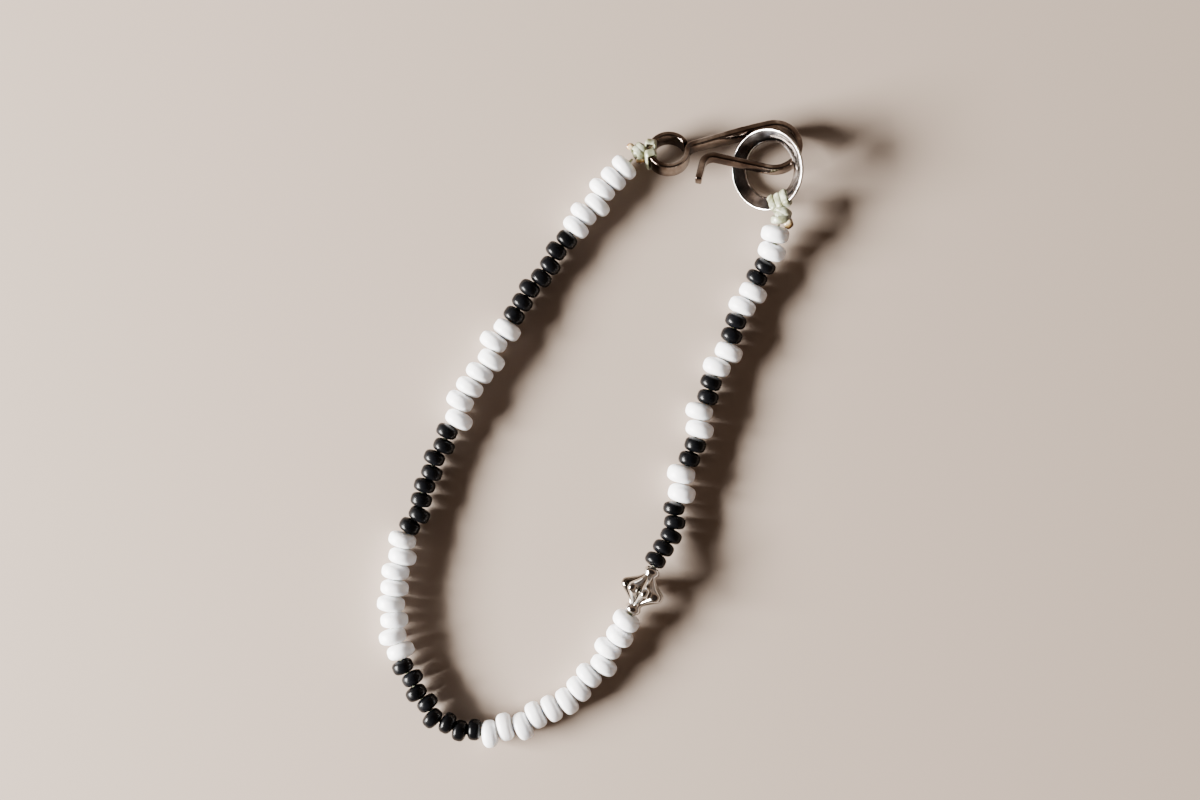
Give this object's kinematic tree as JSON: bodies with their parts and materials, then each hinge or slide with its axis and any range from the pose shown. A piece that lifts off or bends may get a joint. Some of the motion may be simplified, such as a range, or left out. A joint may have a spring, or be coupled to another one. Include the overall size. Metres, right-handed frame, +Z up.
{
  "type": "bracelet",
  "caption": "Bracelet of white and black glass beads on one string, with a silver star charm bead and a silver hook and ring clasp.",
  "frame": {"origin": "middle of the bracelet's box, on the table it lies on", "axes": "+X along the closed loop, towards the clasp; +Z up from the table"},
  "size_m": [0.104, 0.0424, 0.0076],
  "materials": {
    "white_glass": "satin, opaque white glass",
    "polished_silver": "polished, a little tarnished",
    "waxed_cord": "waxed"
  },
  "bodies": {
    "root": {"bead_string_long": "white_glass", "bead_string_short": "white_glass", "charm_bead": "polished_silver", "hook": "polished_silver", "ring": "polished_silver", "knot_at_hook": "waxed_cord", "knot_at_ring": "waxed_cord"}
  },
  "joints": []
}
